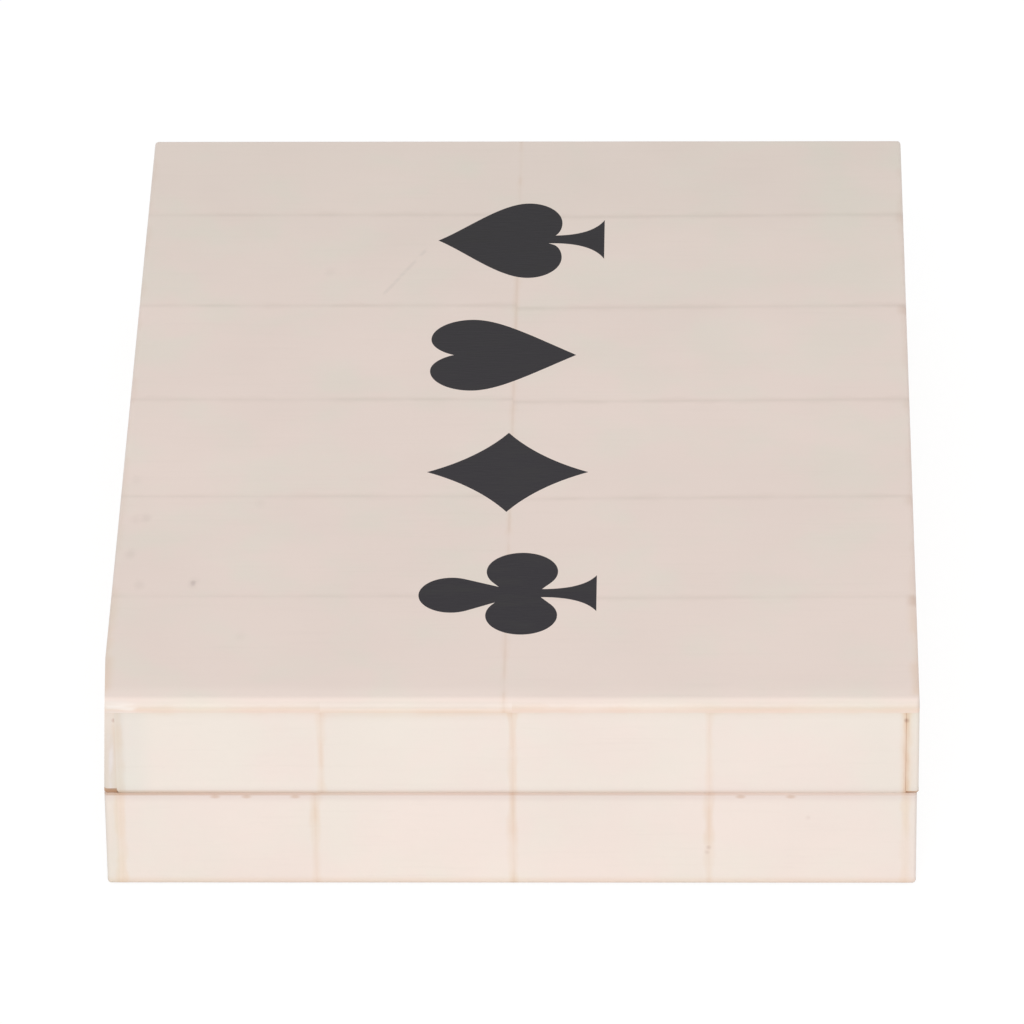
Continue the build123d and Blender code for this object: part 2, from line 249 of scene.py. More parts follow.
# Small marks on the top, in millimetres from the middle of the box
SPECKS = (
    (-59.1, -34.6, 1),
    (-60.7, -34.9, 0.6),
    (-61, -45.5, 0.9),
    (-59.2, -54.8, 0.8),
    (-50.7, -54.2, 1),
    (-61.2, -22.9, 0.5),
    (-41, -30.1, 0.4),
    (-42.6, -69.9, 0.4),
    (-32.2, 43.6, 0.5),
)
SPECK = Stain(0.1, 1.1, (0.925, 0.925, 0.92))
SPECK_STRETCH = (0.85, 0.5, 1)
SPECK_RAGGED = Patches(size=1.3, detail=3)
PIT_PLACE = (-50.7, -54.2)
PIT = Stain(0.1, 0.55, (0.84, 0.82, 0.83))
SCRATCH_START = (-23.3, 35.7)
SCRATCH_END = (-16.0, 51.8)
SCRATCH = Stain(0.08, 0.55, (0.925, 0.932, 0.932))
SCRATCH_FADE = 1.2
SCRATCH_BREAKS = Patches(size=1.8, fade=(0.3, 0.55))

# Resin of the suits, which darkens towards the back
INLAY_SHADER = {"Specular IOR Level": 0.14}
INLAY_RUB = Patches(size=2.5, fade=(0.45, 0.75), stretch=(0.3, 1, 1), detail=4)
INLAY_SCUFFS = Patches(size=0.5, stretch=(0.2, 1, 1), detail=4)
INLAY_RUB_ROUGHNESS = 0.1
INLAY_SCUFF_ROUGHNESS = 0.05
INLAY_FADE = (-40, 75)
INLAY_FADE_DEPTH = 0.4
INLAY_BUMP = 0.00002

# Wood of the lip and the dividers
WOOD_SHADER = {"Coat Weight": 0.1, "Coat Roughness": 0.3}
WOOD_STRETCH = 0.04
WOOD_BANDS = Patches(size=2.2, fade=(0.35, 0.68), detail=4)
WOOD_BAND_HEIGHT = 0.5
WOOD_PORES = Patches(size=0.35, fade=(0.56, 0.7), detail=3)
PORE_DARKNESS = 0.6
WOOD_ROUGHNESS = 0.34
WOOD_ROUGHNESS_SPREAD = 0.15
WOOD_BUMP = 0.00012

# Boards behind the tiles
BOARD_SHADER = {"Specular IOR Level": 0.3}
BOARD_FIBRES = Patches(size=0.6, fade=(0.36, 0.64), stretch=(1, 0.35, 1), detail=5)
BOARD_FIBRE_SHARE = 0.7
BOARD_CLOTS = Patches(size=4, detail=3)
BOARD_ROUGHNESS = 0.65
BOARD_ROUGHNESS_SPREAD = 0.2
BOARD_BUMP = 0.0001

# Felt: its fibres, and the form of its sheets
FELT_SHADER = {"Sheen Weight": 0.25, "Sheen Roughness": 0.6, "Specular IOR Level": 0.15}
FELT_MATTED = Patches(size=0.9, fade=(0.35, 0.7), detail=6)
FELT_CROSSED = Patches(size=0.35, stretch=(1, 0.3, 1), detail=3, shift=(9, 4, 2))
FELT_LOOSE = Patches(size=0.3, fade=(0.6, 0.72), stretch=(0.25, 1, 1), detail=3)
FELT_LOOSE_SHARE = 0.6
FELT_ROUGHNESS = 0.88
FELT_ROUGHNESS_SPREAD = 0.1
FELT_BUMP = 0.0003
FELT_EDGE_LINE_SHARE = 0.25
FELT_EDGE_DROP_SHARE = 0.45
FELT_WAVES_PER_METRE = 90

# Stage, with its places and lengths in metres
AIM = Vector((-0.00139, 0.0, 0.01385))
CAMERA_REACH = 100
KEY_AZIMUTH = math.radians(-2)
KEY_ELEVATION = math.radians(30)
KEY_DISTANCE = 2.0
FLOOR_LEVEL = -0.0002
FLOOR_WHITE = (0.8, 0.8, 0.8)
FLOOR_SHADED = (0.2, 0.2, 0.2)
FLOOR_GLOW = 0.86
WHITE = (1.0, 1.0, 1.0)


def colour(name, description, default):
    """A colour setting."""
    return bpy.props.FloatVectorProperty(
        name=name, description=description, default=default, subtype="COLOR", min=0, max=1
    )


def length(name, description, default):
    """A length setting, in metres."""
    return bpy.props.FloatProperty(
        name=name, description=description, default=default, unit="LENGTH", precision=4
    )


def share(name, description, default):
    """A setting from 0 to 1."""
    return bpy.props.FloatProperty(
        name=name, description=description, default=default, subtype="FACTOR", min=0, max=1
    )


def angle(name, description, degrees):
    """An angle setting, given here in degrees."""
    return bpy.props.FloatProperty(
        name=name, description=description, default=math.radians(degrees), subtype="ANGLE"
    )


def number(name, description, default):
    """A plain number setting."""
    return bpy.props.FloatProperty(name=name, description=description, default=default)


class BoneLook(bpy.types.PropertyGroup):
    """Colours and gloss of the bone tiles."""

    top_pale: colour("Pale top", "The greener cream of the top's bone", (0.852, 0.757, 0.672))
    top_blush: colour("Blush top", "The pinker cream of the top's bone", (0.885, 0.745, 0.675))
    pale: colour("Pale sides", "The greener cream of the sides' bone", (0.848, 0.768, 0.694))
    blush: colour("Blush sides", "The pinker cream of the sides' bone", (0.866, 0.753, 0.689))
    chipped: colour("Chipped bone", "Chips and scuffs at the worn corner", (0.93, 0.88, 0.84))
    # Colour of the smear of polish, painted pale as a highlight
    smear_highlight: colour("Smeared polish", "Milky polish on the worn end", (0.83, 0.79, 0.81))
    tile_spread: share("Tile spread", "How much the tiles differ in brightness", 0.012)
    gloss: share("Roughness", "Roughness of polished bone", 0.3)


class InlayLook(bpy.types.PropertyGroup):
    """Colours and gloss of the suit inlays."""

    black: colour("Suit black", "The resin of the suits", (0.0188, 0.0154, 0.0207))
    scuffed: colour("Scuffed black", "Where the resin is rubbed", (0.0269, 0.0243, 0.027))
    gloss: share("Roughness", "Roughness of the resin", 0.34)


class WoodLook(bpy.types.PropertyGroup):
    """Colours of the lip, the dividers and the boards behind the tiles."""

    lip_light: colour("Light lip wood", "Early wood of the lip and dividers", (0.27, 0.125, 0.06))
    lip_dark: colour("Dark lip wood", "Late wood of the lip and dividers", (0.13, 0.052, 0.024))
    board_light: colour("Light board", "Pale fibres of the boards", (0.42, 0.28, 0.175))
    board_dark: colour("Dark board", "Dark fibres of the boards", (0.28, 0.175, 0.105))


class FeltLook(bpy.types.PropertyGroup):
    """Colours and form of the felt."""

    well: colour("Well felt", "Felt in the wells and the lid", (0.034, 0.034, 0.039))
    well_fuzz: colour("Well fuzz", "Loose fibres on that felt", (0.062, 0.062, 0.069))
    base: colour("Base felt", "Felt under the base", (0.019, 0.019, 0.021))
    base_fuzz: colour("Base fuzz", "Loose fibres on that felt", (0.036, 0.036, 0.039))
    cell: length("Cell", "Spacing of the felt's mesh", 0.002)
    wave: length("Wave", "How far the felt's face rises and falls", 0.00012)
    soft_edge: length("Soft edge", "Width over which a cut edge rounds off", 0.0008)


class StageLook(bpy.types.PropertyGroup):
    """Camera and light."""

    elevation: angle("Elevation", "Camera's height above the table", 31.580)
    yaw: angle("Yaw", "Camera's turn to the right", 1.344)
    roll: angle("Roll", "Camera's lean", -0.721)
    distance: length("Distance", "From the camera to the box", 1.6042)
    lens: number("Lens", "Focal length in millimetres on a sensor of 36", 344.28)
    key_power: number("Key power", "Watts of the large lamp", 17.6)
    key_size: length("Key size", "Side of the large lamp", 1.3)
    sky: share("Sky", "Even light from all round", 0.622)
    floor_size: length("Floor size", "Side of the floor", 4.0)


LOOKS = {
    "card_box_bone": BoneLook,
    "card_box_inlay": InlayLook,
    "card_box_wood": WoodLook,
    "card_box_felt": FeltLook,
    "card_box_stage": StageLook,
}


class Wire:
    """A shader socket that takes part in Python sums: each sum adds a node to its tree."""

    def __init__(self, tree, socket):
        self.tree = tree
        self.socket = socket

    def node(self, kind, settings=None, sockets=None, output=0):
        """Adds a node: first its settings, then the values or links of its sockets."""
        made = self.tree.nodes.new(kind)
        for key, value in (settings or {}).items():
            setattr(made, key, value)
        for key, value in (sockets or {}).items():
            if isinstance(value, Wire):
                self.tree.links.new(value.socket, made.inputs[key])
            else:
                made.inputs[key].default_value = value
        return Wire(self.tree, made.outputs[output])

    def math(self, operation, first, second=0.0):
        """One sum of two values."""
        return self.node("ShaderNodeMath", {"operation": operation}, {0: first, 1: second})

    def __add__(self, other):
        return self.math("ADD", self, other)

    def __radd__(self, other):
        return self.math("ADD", other, self)

    def __sub__(self, other):
        return self.math("SUBTRACT", self, other)

    def __rsub__(self, other):
        return self.math("SUBTRACT", other, self)

    def __mul__(self, other):
        return self.math("MULTIPLY", self, other)

    def __rmul__(self, other):
        return self.math("MULTIPLY", other, self)

    def __gt__(self, other):
        return self.math("GREATER_THAN", self, other)

    def __abs__(self):
        return self.math("ABSOLUTE", self)

    def least(self, other):
        """The smaller of two values."""
        return self.math("MINIMUM", self, other)

    def most(self, other):
        """The larger of two values."""
        return self.math("MAXIMUM", self, other)

    def rise(self, start, end):
        """0 up to start, 1 from end on, smooth between them."""
        settings = {"interpolation_type": "SMOOTHSTEP"}
        return self.node("ShaderNodeMapRange", settings, {"Value": self, "From Min": start, "From Max": end})

    def fall(self, start, end):
        """1 up to start, 0 from end on, smooth between them."""
        return 1 - self.rise(start, end)

    def mix(self, first, second):
        """The first colour, and this much of the second one."""
        return self.blend("MIX", first, second)

    def tint(self, body, shade):
        """The body's colour, with this much of it multiplied by the shade."""
        return self.blend("MULTIPLY", body, rgba(shade))

    def blend(self, way, first, second):
        """Two colours blended this way, and this much."""
        settings = {"data_type": "RGBA", "blend_type": way}
        sockets = {MIX_FACTOR: self, MIX_FIRST: first, MIX_SECOND: second}
        return self.node("ShaderNodeMix", settings, sockets, MIX_RESULT)

    def vector(self, operation, second, third=(0, 0, 0)):
        """One sum of two or three vectors."""
        return self.node("ShaderNodeVectorMath", {"operation": operation}, {0: self, 1: second, 2: third})

    def scaled(self, factor):
        """A vector or colour times a factor."""
        return self.node("ShaderNodeVectorMath", {"operation": "SCALE"}, {0: self, "Scale": factor})

    def parts(self):
        """The x, y and z of a vector."""
        split = self.node("ShaderNodeSeparateXYZ", sockets={0: self})
        return [Wire(self.tree, socket) for socket in split.socket.node.outputs]

    def noise(self, patches):
        """Plain noise, about a half, over a place in millimetres."""
        place = self.vector("MULTIPLY_ADD", patches.stretch, patches.shift)
        sockets = {"Vector": place, "Scale": 1 / patches.size, "Detail": patches.detail}
        return self.node("ShaderNodeTexNoise", sockets=sockets)

    def patches(self, patches):
        """Noise that fades from 0 to 1 as its patches say."""
        return self.noise(patches).rise(*patches.fade)

    def chance(self):
        """A number from 0 to 1 that is steady for each whole value of this wire."""
        return self.node("ShaderNodeTexWhiteNoise", {"noise_dimensions": "1D"}, {"W": self})

    def away(self, point):
        """How far this place is from a point."""
        settings = {"operation": "DISTANCE"}
        return self.node("ShaderNodeVectorMath", settings, {0: self, 1: point}, output="Value")


def rgba(values):
    """A colour with its alpha."""
    return (*values, 1.0)


def box_mm(node):
    """A node's lowest and highest corner, in millimetres."""
    low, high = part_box(node)
    return low * MM_PER_METRE, high * MM_PER_METRE


def start_finish(name, constants):
    """A new material with these shader values, and a wire of the place on the box in millimetres."""
    material = bpy.data.materials.new(name)
    material.use_nodes = True
    shader = material.node_tree.nodes["Principled BSDF"]
    for key, value in constants.items():
        shader.inputs[key].default_value = value
    first = Wire(material.node_tree, shader.outputs[0])
    place = first.node("ShaderNodeTexCoord", output="Object")
    return material, place.scaled(MM_PER_METRE)


def end_finish(material, body, roughness, height, depth):
    """Links the colour, the roughness and a bump of this depth in metres to the material's shader."""
    shader = material.node_tree.nodes["Principled BSDF"]
    bump = height.node("ShaderNodeBump", sockets={"Height": height, "Distance": depth})
    for key, wire in (("Base Color", body), ("Roughness", roughness), ("Normal", bump)):
        material.node_tree.links.new(wire.socket, shader.inputs[key])
    return material


def dress(names, material):
    """Gives CAD nodes their finish."""
    for name in names:
        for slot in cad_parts[name].material_slots:
            slot.material = material


def top_names():
    """The nodes of the top's tiles."""
    return [f"top_tile_{side}_{row + 1}" for side in ("left", "right") for row in range(TOP_ROWS)]


def row_joints():
    """Where the rows of tiles meet, along the box's depth."""
    return [box_mm(f"top_tile_left_{row + 1}")[1].y for row in range(TOP_ROWS - 1)]


def across(joints):
    """Joints across the width of the front tiles, from their shares of it, and how dirty they are."""
    low, high = box_mm("base_tiles_front")
    return [(low.x + share_of_width * (high.x - low.x), dirt) for share_of_width, dirt in joints]


def by_front_tile(x, values, blend):
    """The value of the front tile of the lid at x, blended over this many millimetres at its joints."""
    value = x * 0 + values[0]
    steps = [after - before for before, after in zip(values, values[1:])]
    for (joint, _), step in zip(across(LID_FRONT_JOINTS), steps):
        value = value + (x - joint).rise(-blend, blend) * step
    return value


def ledge_level(x, y):
    """Height of the seam round the lid under its top, which steps with the front tiles."""
    low, high = box_mm("lid_tiles_front")
    return by_front_tile(x, FRONT_TILE_RISES, STEP_BLEND) * (y - low.y).fall(*FRONT_REACH) + high.z


def nearest(distances):
    """The least of several distances."""
    least = distances[0]
    for distance in distances[1:]:
        least = least.least(distance)
    return least


def count_passed(wire, places):
    """How many of the places this wire has passed."""
    passed = wire * 0
    for place in places:
        passed = passed + (wire > place)
    return passed


def along_grain(place, along_x, stretch):
    """The place, drawn together along the grain so that patches on it run that way."""
    return place.vector("MULTIPLY", (stretch, 1, 1) if along_x else (1, stretch, 1))


def bone_body(place, tile, along_x, blush_from, colours, look):
    """Clouded bone: pale and blush patches, a brightness of its own for each tile, and fine fibres."""
    cloud = place.noise(CLOUDS) * CLOUD_SHARE + place.noise(DRIFT) * (1 - CLOUD_SHARE)
    body = cloud.rise(blush_from - CLOUD_FADE, blush_from + CLOUD_FADE).mix(*map(rgba, colours))
    fibres = along_grain(place, along_x, FIBRE_STRETCH).patches(FIBRES)
    shade = (place.noise(SHADE) - 0.5) * SHADE_DEPTH
    brightness = 1 + (tile - 0.5) * look.tile_spread + shade - fibres * FIBRE_DARKNESS
    return body.scaled(brightness), fibres


def stain_joints(body, place, joints, halo, core, least_wear):
    """Dirt that has soaked in at joints, given by distance and dirt, more in some places than others."""
    wear = place.patches(JOINT_WEAR) * (1 - least_wear) + least_wear
    ragged = HALO_NARROW - place.patches(JOINT_SPREAD) * HALO_RAGGED
    for distance, dirt in joints:
        body = halo.on(body, distance * ragged, wear * dirt)
        body = core.on(body, distance, wear * dirt)
    return body, nearest([distance for distance, _ in joints]).fall(core.full, core.gone)


def bone_surface(material, place, body, fibres, low, dull, look):
    """The polish of bone: uneven gloss, fibres that can just be felt, and joints that lie low."""
    roughness = place.patches(POLISH) * POLISH_ROUGHNESS + look.gloss + dull * DULL_ROUGHNESS
    height = fibres * FIBRE_HEIGHT + place.noise(POLISH) * POLISH_HEIGHT - low * JOINT_DEPTH
    return end_finish(material, body, roughness, height, BONE_BUMP)


def top_rows(x, y):
    """The place across the rows of the top, whose joints lean on the right half, and that half."""
    right = box_mm("top_tile_right_1")[1].x
    middle = box_mm("top_tile_left_1")[1].x
    lean = box_mm("top_tile_left_2")[0].y - box_mm("top_tile_right_2")[0].y
    right_half = x > middle
    return y + right_half * ((right - x) * (lean / (right - middle))), right_half


def top_finish(look):
    """Bone of the lid's top, with its stained joints, rounded edges with painted shade and highlight at the
    front, painted shade towards the back, and small marks.
    """
    material, place = start_finish("bone_top", BONE_SHADER)
    x, y, z = place.parts()
    low, high = box_mm("top_tile_right_1")
    row_place, right_half = top_rows(x, y)
    tile = (count_passed(row_place, row_joints()) + right_half * TOP_ROWS).chance()
    colours = (look.top_pale, look.top_blush)
    body, fibres = bone_body(place, tile, True, TOP_BLUSH_FROM, colours, look)
    # Painted shade: the top darker and less pink towards the back
    body = y.rise(*BACK_SHADE_RUN).tint(body, BACK_SHADE_AND_TINT)
    body, joints = stain_top_joints(body, place, x, y, row_place)
    body = mark_top(body, place, high.z)
    body = stain_and_shade_rim(body, place, high.x - abs(x), y - low.y, -low.y - y)
    body = top_edge_tan_shade_and_highlight(body, place, x, y, z)
    body = chip_corner(body, place, x, y, z, look)
    dull = (high.z - z).rise(*EDGE_DULL)
    return bone_surface(material, place, body, fibres, joints, dull, look)


def stain_top_joints(body, place, x, y, row_place):
    """Dirt in the joints between the rows and in the one down the middle, and at the rows' right ends."""
    right = box_mm("top_tile_right_1")[1].x
    middle = box_mm("top_tile_left_1")[1].x
    rows = row_joints()
    soiled = (x - middle).rise(*ROW_CLEAN_RUN) * ROW_CLEAN + (1 - ROW_CLEAN)
    seams = [(abs(row_place - joint), soiled * dirt) for joint, dirt in zip(rows, ROW_DIRT)]
    body, low = stain_joints(body, place, seams, TOP_HALO, TOP_CORE, ROW_LEAST_WEAR)
    column = [(abs(x - middle), 1)]
    worn = abs(y - COLUMN_WORN_AT).fall(*COLUMN_WORN_RUN) * COLUMN_WORN + COLUMN_LEAST_WEAR
    body, column_low = stain_joints(body, place, column, COLUMN_HALO, COLUMN_CORE, worn)
    for joint, strength in zip(rows, JOINT_END_SHARES):
        end = (right - x).fall(*JOINT_END_RUN) * strength
        body = JOINT_END.on(body, abs(row_place - joint + JOINT_END_SHIFT), end)
    return body, low.most(column_low)


def top_edge_tan_shade_and_highlight(body, place, x, y, z):
    """The edge of the top: tan over its seam, and at the front painted shade on its rounding and rubbed bone
    with a painted highlight back from it, as much as each tile has.
    """
    low, high = box_mm("top_tile_right_1")
    from_front = y - low.y
    over = z - ledge_level(x, y)
    body = CUT_EDGE.on(body, over, (over > 0) * by_front_tile(x, EDGE_TAN, EDGE_BLEND))
    body = stain_ledge(body, place, over)
    # Painted shade on the rounding
    rounding_shade = by_front_tile(x, EDGE_PAINTED_SHADE, EDGE_BLEND) * from_front.fall(*FRONT_REACH)
    body = ROUNDING_PAINTED_SHADE.on(body, abs(high.z - ROUNDING_DROP - z), rounding_shade)
    # Rubbed bone with a painted highlight back from the front edge
    return RUBBED_EDGE_HIGHLIGHT.on(body, from_front, (over > 0) * by_front_tile(x, EDGE_RUB_AND_HIGHLIGHT, EDGE_BLEND))


def stain_ledge(body, place, over):
    """The seam under the lid's top, by the height over it: a thin dark joint, and a shade below it."""
    seam = [(abs(over), LEDGE_DIRT)]
    joint, _ = stain_joints(body, place, seam, LID_HALO, LID_CORE, SIDE_LEAST_WEAR)
    return LEDGE.on(joint, abs(over), 1 - (over > 0))


def stain_and_shade_rim(body, place, from_side, from_front, from_back):
    """Handled rims of the top: a faint band of tint and painted shade along the sides and the back, tan
    towards the front.
    """
    clean = RIM_REACH - place.patches(RIM_WEAR) * RIM_REACH
    behind = from_front.rise(*RIM_START)
    # Tint and painted shade along the sides and the back
    body = RIM_TINT_AND_SHADE.on(body, from_side.least(from_back) + clean, behind)
    return RIM_TAN.on(body, from_side + clean, behind * from_front.fall(*RIM_TAN_FADE))


def mark_top(body, place, top):
    """A few soft specks, one pit and one hair-fine scratch."""
    ragged = place.noise(SPECK_RAGGED) + 0.5
    for speck_x, speck_y, strength in SPECKS:
        away = spot_distance(place, (speck_x, speck_y, top), SPECK_STRETCH)
        body = SPECK.on(body, away * ragged, strength)
    body = PIT.on(body, spot_distance(place, (*PIT_PLACE, top), SPECK_STRETCH) * ragged)
    run = Vector(SCRATCH_END) - Vector(SCRATCH_START)
    start = (*SCRATCH_START, top)
    turned = place.node(
        "ShaderNodeVectorRotate",
        {"rotation_type": "Z_AXIS"},
        {"Vector": place, "Center": start, "Angle": -math.atan2(run.y, run.x)},
    )
    along, aside, _ = turned.vector("SUBTRACT", start).parts()
    ends = along.rise(0, SCRATCH_FADE) * along.fall(run.length - SCRATCH_FADE, run.length)
    return SCRATCH.on(body, abs(aside), ends * place.patches(SCRATCH_BREAKS))


def spot_distance(place, spot, stretch):
    """How far the place is from a spot that is drawn out where its stretch is below 1."""
    return place.vector("MULTIPLY", stretch).away(Vector(spot) * Vector(stretch))


def chip_corner(body, place, x, y, z, look):
    """Pale chips and a haze of scuffs along the front edge, at its left end."""
    low = box_mm("top_tile_left_1")[0]
    from_left = x - low.x
    face = (y - low.y).fall(*CHIP_FACE)
    body = (from_left.fall(*DULL_RUN) * face).tint(body, DULL_TINT)
    haze = from_left.fall(*HAZE_RUN) * place.patches(HAZE) * face
    body = (haze * HAZE_STRENGTH).mix(body, rgba(look.chipped))
    level = z - low.z - CHIP_LEVEL + (place.noise(CHIP_WOBBLE) - 0.5) * CHIP_SWAY
    run = from_left.rise(*CHIP_START) * from_left.fall(*CHIP_RUN)
    chip = abs(level).fall(*CHIP_WIDTH) * run * face
    return (chip * CHIP_STRENGTH).mix(body, rgba(look.chipped))


def side_faces():
    """The eight faces of tiles round the lid and the base."""
    fronts = {
        "lid_tiles_front": LID_FRONT_JOINTS,
        "base_tiles_front": BASE_FRONT_JOINTS,
        "lid_tiles_back": BACK_JOINTS,
        "base_tiles_back": BACK_JOINTS,
    }
    halves = {
        "lid": (LID_BLUSH_FROM, LID_HALO, LID_CORE),
        "base": (BASE_BLUSH_FROM, BASE_HALO, BASE_CORE),
    }
    faces = []
    for half, (blush_from, halo, core) in halves.items():
        for side in SIDES:
            name = f"{half}_tiles_{side}"
            along_x = name in fronts
            joints = across(fronts[name]) if along_x else [(joint, 1) for joint in row_joints()]
            faces.append(TileFace(name, joints, along_x, blush_from, halo, core))
    return faces


def side_finish(face, look):
    """Bone of one side of the lid or the base, with the dirt of its joints, the parting with painted shade
    either side, and the foot.
    """
    material, place = start_finish("bone_" + face.name, BONE_SHADER)
    x, y, z = place.parts()
    along = x if face.along_x else y
    tile = (count_passed(along, [joint for joint, _ in face.joints]) + len(face.name)).chance()
    body, fibres = bone_body(place, tile, face.along_x, face.blush_from, (look.pale, look.blush), look)
    body, joints = stain_side_joints(body, place, face, x, along)
    body = stain_and_shade_parting(body, place, x, z, face.name)
    body = wear_base(body, y, z, face.name) if face.name.startswith("base") else body
    body = lid_wear_shade_and_highlight(body, place, face.name, look) if face.name.startswith("lid") else body
    return bone_surface(material, place, body, fibres, joints, joints, look)


def end_joints():
    """Where the front tiles meet the ends of the left and right ones."""
    return box_mm("lid_tiles_left")[1].x + LEFT_END_SHIFT, box_mm("lid_tiles_right")[0].x


def stain_side_joints(body, place, face, x, along):
    """Dirt in the joints of one side's tiles, and where the front tiles meet the ends of the side ones."""
    seams = [(abs(along - joint), dirt) for joint, dirt in face.joints]
    body, low = stain_joints(body, place, seams, face.halo, face.core, SIDE_LEAST_WEAR)
    end_dirt = END_DIRT[face.name.split("_")[0]]
    end_seams = [(abs(x - end), dirt) for end, dirt in zip(end_joints(), end_dirt)]
    body, end_low = stain_joints(body, place, end_seams, END_HALO, END_CORE, SIDE_LEAST_WEAR)
    return body, low.most(end_low)


def wear_base(body, y, z, name):
    """The base's tiles: bare end grain at the front left corner, and a tanned foot."""
    low = box_mm(name)[0]
    if name == "base_tiles_left":
        body = END_GRAIN.on(body, y - low.y)
    return FOOT_BAND.on(body, z - low.z)


def lid_wear_shade_and_highlight(body, place, name, look):
    """The lid's tiles: the seam under the top, the open joint of the front corners, and their worn ends,
    with painted shade in the notches and a painted highlight on the left one.
    """
    x, y, z = place.parts()
    body = stain_ledge(body, place, z - ledge_level(x, y))
    if name in ("lid_tiles_left", "lid_tiles_right"):
        body = wear_and_shade_end(body, y, z, name)
    if name in ("lid_tiles_front", "lid_tiles_right"):
        body = stain_open_joint(body, place, x, y)
    if name == "lid_tiles_front":
        from_left = x - end_joints()[0]
        body = WORN_SHADE.on(WORN_BAND.on(body, from_left), from_left)
    if name == "lid_tiles_left":
        body = smear_and_highlight_end(body, place, x, y, z, look)
    return body


def wear_and_shade_end(body, y, z, name):
    """The front end of the lid's side tiles: bare end grain, and brown dirt with painted shade in the notch
    at its rim.
    """
    low = box_mm(name)[0]
    from_front = y - low.y
    body = END_GRAIN.on(body, from_front)
    # Brown dirt with painted shade in the notch
    return NOTCH_DIRT_AND_SHADE.on(body, z - low.z, from_front.rise(*NOTCH_START) * from_front.fall(*NOTCH_END))


def stain_and_shade_parting(body, place, x, z, name):
    """The brown line between lid and base, paler to the right, with painted shade either side of it and
    grime in blobs just under it.
    """
    low, high = box_mm("base_tiles_front")
    away = abs(z - high.z)
    is_lid = name.startswith("lid")
    # Painted shade on either side of the parting, half as strong on the lid
    body = PARTING_PAINTED_SHADE.on(body, away, LID_PARTING_PAINTED_SHADE if is_lid else 1)
    if name == "base_tiles_front":
        for blob_x in GRIME_PLACES:
            spot = (blob_x, low.y, high.z - GRIME_DROP)
            body = GRIME_BLOB.on(body, spot_distance(place, spot, GRIME_STRETCH))
        for speck_x, speck_z, strength in BASE_SPECKS:
            body = BASE_SPECK.on(body, place.away((speck_x, low.y, speck_z)), strength)
    strength = PARTING_STRENGTH
    for start, end, loss in PARTING_FADES:
        strength = strength - x.rise(start, end) * loss
    return (LID_PARTING if is_lid else BASE_PARTING).on(body, away, strength)


def stain_open_joint(body, place, x, y):
    """Reddish dirt in the open joint at the right end of the lid's front, darkest near its top."""
    low, high = box_mm("lid_tiles_front")
    front = (y - low.y).fall(*OPEN_JOINT_FACE)
    away = abs(x - high.x + (place.noise(OPEN_JOINT_WOBBLE) - 0.5) * OPEN_JOINT_SWAY)
    body = OPEN_JOINT_HALO.on(body, away, front)
    dirt = place.patches(OPEN_JOINT_DIRT) * (1 - OPEN_JOINT_LEAST) + OPEN_JOINT_LEAST
    body = OPEN_JOINT.on(body, away, front * dirt)
    spot = place.away((high.x, low.y, high.z - OPEN_JOINT_SPOT_DROP))
    return OPEN_JOINT_SPOT.on(body, spot)


def smear_and_highlight_end(body, place, x, y, z, look):
    """The front end of the lid's left tiles: duller bone, with a milky smear of polish down it, painted pale
    as a highlight.
    """
    low, high = box_mm("lid_tiles_left")
    wear = (high.z - z).rise(*WORN_TOP) * (1 - WORN_LEAST) + WORN_LEAST
    body = WORN_END.on(body, y - low.y, wear)
    body = WORN_SPOT.on(body, place.away((high.x, low.y, high.z - OPEN_JOINT_SPOT_DROP)))
    middle = low.x + (high.x - low.x) * SMEAR_PLACE_SHARE
    smear = abs(x - middle).fall(*SMEAR_WIDTH) * (y - low.y).fall(*SMEAR_FACE)
    smear = smear * (high.z - z).rise(*SMEAR_TOP) * place.patches(SMEAR_STREAKS)
    # Painted highlight on the smear of polish
    return (smear * SMEAR_HIGHLIGHT_STRENGTH).mix(body, rgba(look.smear_highlight))


def inlay_finish(look):
    """Black resin, faintly rubbed."""
    material, place = start_finish("suit_black", INLAY_SHADER)
    rubbed = place.patches(INLAY_RUB)
    body = rubbed.mix(rgba(look.black), rgba(look.scuffed))
    body = body.scaled(1 - place.parts()[1].rise(*INLAY_FADE) * INLAY_FADE_DEPTH)
    scuffs = place.noise(INLAY_SCUFFS)
    roughness = rubbed * INLAY_RUB_ROUGHNESS + look.gloss + scuffs * INLAY_SCUFF_ROUGHNESS
    return end_finish(material, body, roughness, scuffs, INLAY_BUMP)


def wood_finish(name, along_x, light, dark):
    """Close-grained wood, its grain along the piece, with darker pores."""
    material, place = start_finish(name, WOOD_SHADER)
    run = along_grain(place, along_x, WOOD_STRETCH)
    bands = run.noise(WOOD_BANDS)
    pores = run.patches(WOOD_PORES)
    body = bands.rise(*WOOD_BANDS.fade).mix(rgba(dark), rgba(light))
    body = (pores * PORE_DARKNESS).mix(body, rgba(dark))
    roughness = bands * WOOD_ROUGHNESS_SPREAD + WOOD_ROUGHNESS + pores * WOOD_ROUGHNESS_SPREAD
    return end_finish(material, body, roughness, bands * WOOD_BAND_HEIGHT - pores, WOOD_BUMP)


def board_finish(look):
    """Pressed board: short fibres and specks, with no grain of its own."""
    material, place = start_finish("core_board", BOARD_SHADER)
    fibres = place.noise(BOARD_FIBRES)
    mixture = fibres * BOARD_FIBRE_SHARE + place.noise(BOARD_CLOTS) * (1 - BOARD_FIBRE_SHARE)
    body = mixture.rise(*BOARD_FIBRES.fade).mix(rgba(look.board_dark), rgba(look.board_light))
    return end_finish(material, body, fibres * BOARD_ROUGHNESS_SPREAD + BOARD_ROUGHNESS, fibres, BOARD_BUMP)


